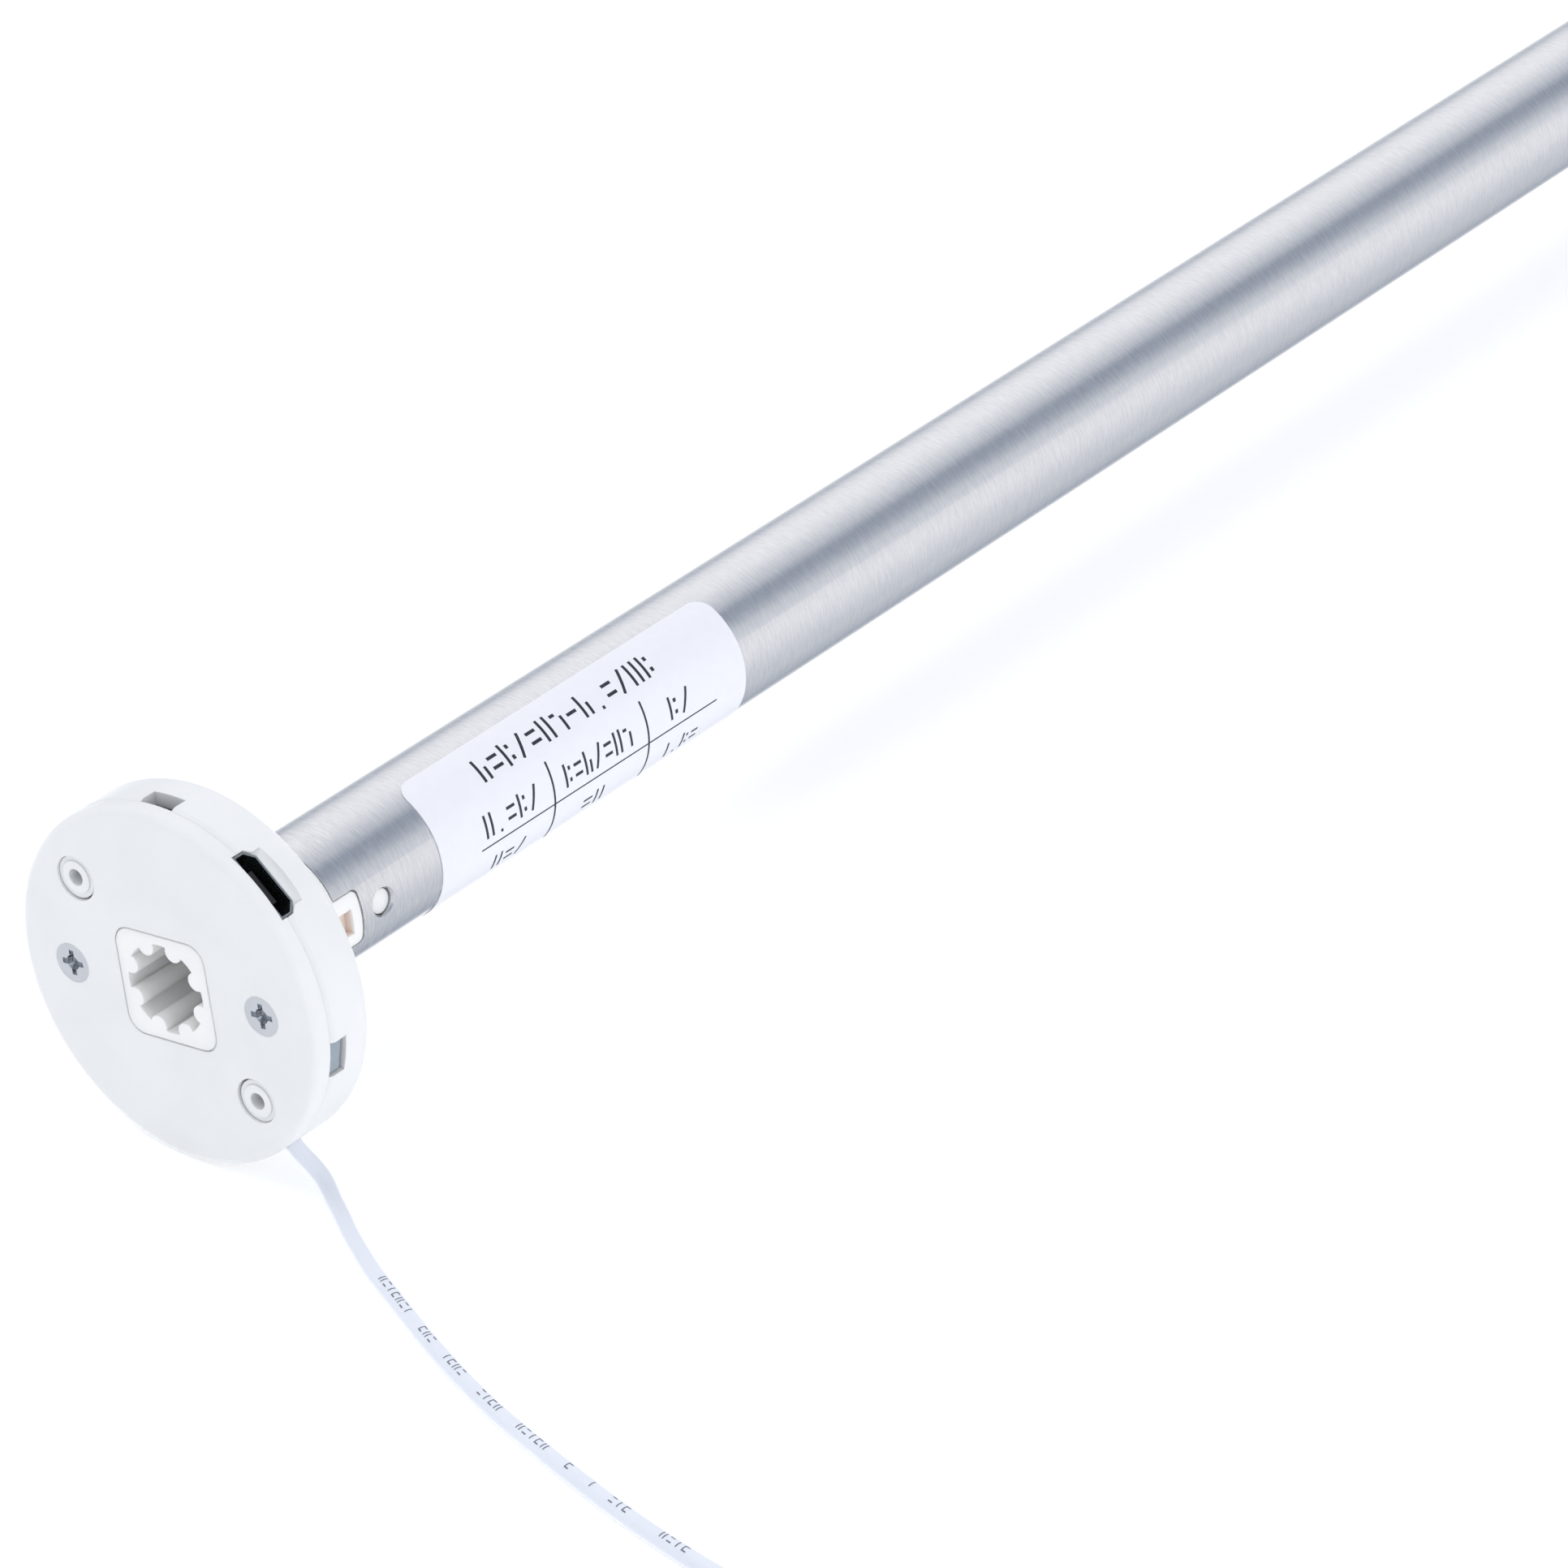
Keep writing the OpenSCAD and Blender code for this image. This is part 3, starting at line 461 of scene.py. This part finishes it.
class Ink:
    """Thin raised print on the label, as strokes between two points (x, arc round the tube)."""

    def __init__(self):
        self.verts, self.faces = [], []

    def stroke(self, x0, s0, x1, s1, wide):
        run = math.hypot(x1 - x0, s1 - s0)
        n = max(1, int(run / STROKE_STEP))
        px, ps = -(s1 - s0) / run * wide / 2, (x1 - x0) / run * wide / 2
        base = len(self.verts)
        for k in range(n + 1):
            x, s = x0 + (x1 - x0) * k / n, s0 + (s1 - s0) * k / n
            for side in (-1, 1):
                for r in (LABEL_R + INK_SPAN[0], LABEL_R + INK_SPAN[1]):
                    clock = math.degrees((s + side * ps) / LABEL_R)
                    self.verts.append(on_tube(x + side * px, clock, r))
        for k in range(n):
            a, b = base + 4 * k, base + 4 * (k + 1)
            for i, j in ((0, 1), (1, 3), (3, 2), (2, 0)):
                self.faces.append((a + i, a + j, b + j, b + i))
        e = base + 4 * n
        self.faces += [(base, base + 2, base + 3, base + 1), (e, e + 1, e + 3, e + 2)]

    def mark(self, kind, x, s, w, h, pen):
        """One abstract sign in a box w wide and h high, with its top at arc s."""
        lean = 0.12 * w
        l, r, t, b = x, x + w, s, s + h
        middle = (l + r) / 2
        if kind == 0:                       # short dash beside a low upright
            self.stroke(l, t + h * 0.2, l + w * 0.5, t + h * 0.2, pen)
            self.stroke(l + w * 0.85, t + h * 0.35, l + w * 0.85, b, pen)
        elif kind == 1:                     # upright
            self.stroke(middle, t, middle, b, pen)
        elif kind == 2:                     # two rungs
            for y in (0.28, 0.72):
                self.stroke(l, t + h * y, r, t + h * y, pen)
        elif kind == 3:                     # slope
            self.stroke(l + lean, b, r - lean, t, pen)
        elif kind == 4:                     # two uprights
            for u in (0.15, 0.85):
                self.stroke(l + w * u, t, l + w * u, b, pen)
        elif kind == 5:                     # tall and short upright
            self.stroke(l + w * 0.15, t, l + w * 0.15, b, pen)
            self.stroke(l + w * 0.8, t + h * 0.45, l + w * 0.8, b, pen)
        elif kind == 6:                     # dash
            self.stroke(l, (t + b) / 2, r, (t + b) / 2, pen)
        elif kind == 7:                     # upright beside two dots
            self.stroke(l + w * 0.15, t, l + w * 0.15, b, pen)
            for y in (0.25, 0.75):
                self.stroke(l + w * 0.6, t + h * y, l + w * 0.9, t + h * y, pen * 1.3)
        elif kind == 8:                     # point
            self.stroke(middle - pen * 0.5, b, middle + pen * 0.5, b, pen)

    def row(self, kinds, x0, x1, clock0, clock1, pen):
        """Signs side by side from x0 to x1, their tops and feet at two clock angles."""
        top, bottom = math.radians(clock0) * LABEL_R, math.radians(clock1) * LABEL_R
        pitch = (x1 - x0) / len(kinds)
        for k, kind in enumerate(kinds):
            self.mark(kind, x0 + k * pitch + pitch * 0.14, top, pitch * 0.72,
                      bottom - top, pen)

    def rule(self, x0, clock0, x1, clock1, pen):
        """A straight line of the table."""
        self.stroke(x0, math.radians(clock0) * LABEL_R, x1, math.radians(clock1) * LABEL_R, pen)


# Rows of the print: clock angles of its top and feet, pen, and each cell's signs and ends
TITLE = ((25.5, 45.5), 0.36, (((5, 2, 7, 3, 2, 4, 0, 6, 5, 8, 2, 3, 4, 7), 41.0, 68.75),))
UPPER = ((65.5, 84.5), 0.32, (((4, 8, 2, 7, 3), 38.6, 47.2), ((7, 2, 5, 3, 2, 4, 0), 51.0, 62.0),
                              ((7, 3), 67.6, 71.4)))
LOWER = ((104.5, 120), 0.28, (((4, 2, 3), 40.0, 45.4), ((2, 4), 54.0, 57.8),
                              ((1, 8, 7, 2), 67.0, 72.8)))
TABLE_X = (38, 75.25)
TABLE_CLOCK = (56, 128)
MIDDLE_RULE = 91.5            # clock angle of the rule between the table's two rows
CELL_RULES = (49.35, 64.25)


def make_print():
    """A title row, a table of two rows by three cells, and its rules."""
    ink = Ink()
    for clocks, pen, cells in (TITLE, UPPER, LOWER):
        for kinds, x0, x1 in cells:
            ink.row(kinds, x0, x1, *clocks, pen)
    ink.rule(TABLE_X[0], MIDDLE_RULE, TABLE_X[1], MIDDLE_RULE, 0.16)
    for x in CELL_RULES:
        ink.rule(x, TABLE_CLOCK[0], x, TABLE_CLOCK[1], 0.26)
    dark = Shader("print_ink", linear(40, 42, 52), 0.45)
    dark.vary(dark.noise(5200, 3), 0.35)
    obj = add_mesh("label_print", ink.verts, ink.faces, dark.mat, smooth=False)
    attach(obj, "root")
    return obj


# ------------------------------------------------------------------ antenna lead
LEAD_Z = -18.1
LEAD_ROUTE = [
    (3.15, -12.65, -14.05), (3.4, -13.6, -15.1), (3.8, -14.6, -16.2),
    (3.9, -15.7, -17.2), (3.4, -17, -17.9)] + [(x, y, LEAD_Z) for x, y in (
        (2.3, -18.7), (0.8, -21), (-0.9, -23.5), (-2.4, -26), (-4.2, -29.2), (-5.8, -32.6),
        (-7.3, -35.8), (-8.8, -39), (-10.2, -42.2), (-11.5, -45.4), (-12.7, -48.6),
        (-13.8, -51.8), (-14.8, -55.2), (-15.7, -58.6), (-16.6, -62), (-17.4, -65.4),
        (-18.2, -68.8), (-18.9, -72.2), (-19.5, -75.6), (-20, -79), (-20.4, -82.4),
        (-20.7, -85.8), (-20.9, -89.2))]
COIL_CENTRE = (-32.0, -93.0)
COIL_R = (11.0, 8.2)          # where the coil starts and ends
COIL_TURNS = 1.45
COIL_STEPS = 26
LEAD_R = 0.9


def lead_points():
    """The route and the coil, in metres."""
    pts = list(LEAD_ROUTE)
    for k in range(COIL_STEPS + 1):
        u = k / COIL_STEPS
        r = COIL_R[0] + (COIL_R[1] - COIL_R[0]) * u
        a = -2 * math.pi * COIL_TURNS * u
        pts.append((COIL_CENTRE[0] + r * math.cos(a), COIL_CENTRE[1] + r * math.sin(a), LEAD_Z))
    return [Vector(p) * MM for p in pts]


def smooth_line(pts, per=6):
    """Catmull-Rom through the points."""
    out = []
    for i in range(len(pts) - 1):
        p0, p1, p2, p3 = pts[max(0, i - 1)], pts[i], pts[i + 1], pts[min(len(pts) - 1, i + 2)]
        for k in range(per):
            t = k / per
            out.append(0.5 * ((2 * p1) + (p2 - p0) * t + (2 * p0 - 5 * p1 + 4 * p2 - p3) * t * t
                              + (3 * p1 - p0 - 3 * p2 + p3) * t ** 3))
    out.append(pts[-1])
    return out


def make_lead():
    """The antenna lead as one cord of its true length, with its marks."""
    line = smooth_line(lead_points())
    cu = bpy.data.curves.new("antenna_wire", "CURVE")
    cu.dimensions = "3D"
    cu.bevel_depth = LEAD_R * MM
    cu.bevel_resolution = 6
    cu.use_fill_caps = True
    sp = cu.splines.new("POLY")
    sp.points.add(len(line) - 1)
    for p, q in zip(sp.points, line):
        p.co = (*q, 1)
    sp.use_smooth = True
    obj = bpy.data.objects.new("antenna_wire", cu)
    scene.collection.objects.link(obj)
    cu.materials.append(material("lead_sheath"))
    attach(obj, "root")
    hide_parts("antenna_lead", "antenna_coil")
    marks = lead_print(line)
    return obj


# Groups of marks along the lead: where each starts and how many marks it has
MARK_GROUPS = ((22.5, 7), (31.5, 3), (36.5, 4), (43.0, 4), (49.5, 5), (57.0, 1), (60.5, 1),
               (63.5, 3), (70.5, 4), (78.5, 6), (88.5, 3), (94.5, 4), (101.5, 4))
MARK_PITCH = 0.95
MARK_LONG = 0.56              # length of a mark along the lead
MARK_PEN = 0.14
MARK_EDGES = (-30, 22)        # degrees round the lead


def lead_print(line):
    """Small abstract marks printed along the lead, on the side that faces up and out."""
    run = [0.0]
    for a, b in zip(line, line[1:]):
        run.append(run[-1] + (b - a).length / MM)

    def at(s):
        for k in range(len(run) - 1):
            if run[k + 1] >= s:
                t = (s - run[k]) / (run[k + 1] - run[k])
                return line[k].lerp(line[k + 1], t), (line[k + 1] - line[k]).normalized()
        return line[-1], (line[-1] - line[-2]).normalized()

    verts, faces = [], []

    def patch(s0, s1, w0, w1):
        """A curved patch from s0 to s1 along the lead and w0 to w1 degrees round it."""
        base = len(verts)
        rows, cols = max(2, int((s1 - s0) / 0.4) + 1), max(2, int((w1 - w0) / 12) + 1)
        for i in range(rows + 1):
            p, t = at(s0 + (s1 - s0) * i / rows)
            side = Vector((0, 0, 1)).cross(t).normalized()
            up = t.cross(side)
            for j in range(cols + 1):
                w = math.radians(w0 + (w1 - w0) * j / cols)
                verts.append(p + (up * math.cos(w) + side * math.sin(w)) * (LEAD_R + 0.006) * MM)
        for i in range(rows):
            for j in range(cols):
                a = base + i * (cols + 1) + j
                faces.append((a, a + 1, a + cols + 2, a + cols + 1))

    low, high = MARK_EDGES
    for g, (start, count) in enumerate(MARK_GROUPS):
        for k in range(count):
            s = start + MARK_PITCH * k
            end = s + MARK_LONG
            kind = (g * 3 + k * 5) % 4
            if kind == 0:                   # two bars across
                patch(s, s + MARK_PEN, low, high)
                patch(end - MARK_PEN, end, low, high)
            elif kind == 1:                 # two bars along
                patch(s, end, low, low + 9)
                patch(s, end, high - 9, high)
            elif kind == 2:                 # one bar across
                patch(s + 0.2, s + 0.2 + MARK_PEN, low, high)
            else:                           # a bar across between two along
                patch(s, end, low, low + 9)
                patch(s, s + MARK_PEN, low + 9, high)
                patch(s, end, high - 9, high)
    ink = Shader("lead_ink", linear(110, 114, 128), 0.5)
    ink.vary(ink.noise(4200, 3), 0.3)
    obj = add_mesh("lead_marks", verts, faces, ink.mat)
    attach(obj, "root")
    return obj


# ------------------------------------------------------------------ studio
# The room round the tube's axis, which the tube mirrors: clock angle and brightness on the
# display's scale. The lamps are brighter than the display's white of 255.
WHITE_LEVEL = 255
ROOM = (
    (-180, 171), (-170, 149), (-158, 205),                                # dark behind, below
    (-147, 290), (-138, 310), (-122, 310), (-110, 283),                   # lamps behind
    (-99, 189), (-87, 161), (-75, 210), (-60, 227), (-45, 232), (-27, 228), (-15, 216),
    (9, 184), (21, 147), (33, 155), (45, 176), (57, 200),                 # dark stripe on top
    (70, 220), (90, 226), (105, 220), (135, 201), (175, 185), (180, 171))  # wall in front
LIGHT_WALL = 232        # walls darker than this are tinted
RED_SHARE = -0.09       # of the step down from LIGHT_WALL, added to the red
BLUE_SHARE = 0.12       # the same for the blue
BLUE_ALWAYS = 3         # blue that every wall has over its green
FRONT = linear(208, 210, 215)   # the most that shines on the head's face from in front
FRONT_X = (-0.1, -0.5)        # how far towards -X a direction points where FRONT fades in
METAL_SHARE = 0.78      # what the brushed metal sends back


def wall(brightness):
    """Colour of a wall, bluer the darker it is, or of a plain white lamp."""
    if brightness > WHITE_LEVEL:
        return linear(brightness, brightness, brightness)
    step = max(0, LIGHT_WALL - brightness)
    return linear(brightness + RED_SHARE * step, brightness,
                  brightness + BLUE_ALWAYS + BLUE_SHARE * step)


def add_world():
    """The room as a ramp of brightness round the X axis, held back in front of the face."""
    world = bpy.data.worlds.new("studio")
    scene.world = world
    world.use_nodes = True
    t = world.node_tree
    bg = t.nodes["Background"]
    tex = t.nodes.new("ShaderNodeTexCoord")
    sep = t.nodes.new("ShaderNodeSeparateXYZ")
    t.links.new(tex.outputs["Generated"], sep.inputs[0])
    neg = t.nodes.new("ShaderNodeMath")
    neg.operation = "MULTIPLY"
    neg.inputs[1].default_value = -1
    t.links.new(sep.outputs["Y"], neg.inputs[0])
    turn = t.nodes.new("ShaderNodeMath")
    turn.operation = "ARCTAN2"
    t.links.new(neg.outputs[0], turn.inputs[0])
    t.links.new(sep.outputs["Z"], turn.inputs[1])
    share = t.nodes.new("ShaderNodeMapRange")
    share.inputs["From Min"].default_value = -math.pi
    share.inputs["From Max"].default_value = math.pi
    t.links.new(turn.outputs[0], share.inputs["Value"])
    ramp = t.nodes.new("ShaderNodeValToRGB")
    t.links.new(share.outputs["Result"], ramp.inputs["Fac"])
    el = ramp.color_ramp.elements
    for k, (clock, brightness) in enumerate(ROOM):
        place = (clock + 180) / 360
        if k < 2:
            el[k].position = place
            e = el[k]
        else:
            e = el.new(place)
        e.color = (*wall(brightness), 1)
    front = t.nodes.new("ShaderNodeMapRange")
    front.interpolation_type = "SMOOTHSTEP"
    front.inputs["From Min"].default_value = FRONT_X[0]
    front.inputs["From Max"].default_value = FRONT_X[1]
    t.links.new(sep.outputs["X"], front.inputs["Value"])
    soft = t.nodes.new("ShaderNodeMix")
    soft.data_type = "RGBA"
    soft.blend_type = "DARKEN"
    soft.inputs[7].default_value = (*FRONT, 1)
    t.links.new(front.outputs["Result"], soft.inputs[0])
    t.links.new(ramp.outputs["Color"], soft.inputs[6])
    t.links.new(soft.outputs[2], bg.inputs["Color"])
    bg.inputs["Strength"].default_value = 1 / METAL_SHARE


FLOOR_HALF_M = 12.0     # metres
FLOOR_CELLS = 24
FLOOR_GLOW = 0.28


def add_floor():
    half = FLOOR_HALF_M
    z = FLOOR_Z * MM
    n = FLOOR_CELLS
    row = n + 1
    verts = [(-half + 2 * half * i / n, -half + 2 * half * j / n, z)
             for i in range(row) for j in range(row)]
    faces = [(i * row + j, (i + 1) * row + j, (i + 1) * row + j + 1, i * row + j + 1)
             for i in range(n) for j in range(n)]
    s = Shader("studio_floor", (0.93, 0.93, 0.93), 0.9)
    s.vary(s.noise(6, 2), 0.004)
    s.put(Emission_Strength=FLOOR_GLOW)
    s.bsdf.inputs["Emission Color"].default_value = (1, 1, 1, 1)
    s.bsdf.inputs["Specular IOR Level"].default_value = 0.1
    floor = add_mesh("studio_floor", verts, faces, s.mat)
    floor.visible_glossy = False


def add_light(name, place, aim, size, watts, color=(1, 1, 1)):
    """A soft panel, in metres, that no mirror shows."""
    la = bpy.data.lights.new(name, "AREA")
    la.shape = "RECTANGLE"
    la.size, la.size_y = size
    la.energy = watts
    la.color = color
    obj = bpy.data.objects.new(name, la)
    obj.location = place
    obj.rotation_euler = (Vector(aim) - Vector(place)).to_track_quat("-Z", "Y").to_euler()
    scene.collection.objects.link(obj)
    obj.visible_glossy = False
    return obj


WARM = (1, 0.99, 0.975)


def add_lights():
    add_light("top_soft", (-0.1, 0.2, 1.2), (0.1, 0, 0), (1.6, 1.2), 6.3, WARM)
    add_light("front_soft", (0.3, -1.1, 0.35), (0.05, 0, 0), (1.0, 0.8), 3.2, WARM)
    add_light("left_soft", (-1.1, 0.1, 0.5), (0, 0, 0), (0.9, 0.9), 0.35)


# ------------------------------------------------------------------ build
add_camera()
finish_nodes()
make_lead()
make_label()
make_print()
add_world()
add_floor()
add_lights()

bpy.context.view_layer.update()
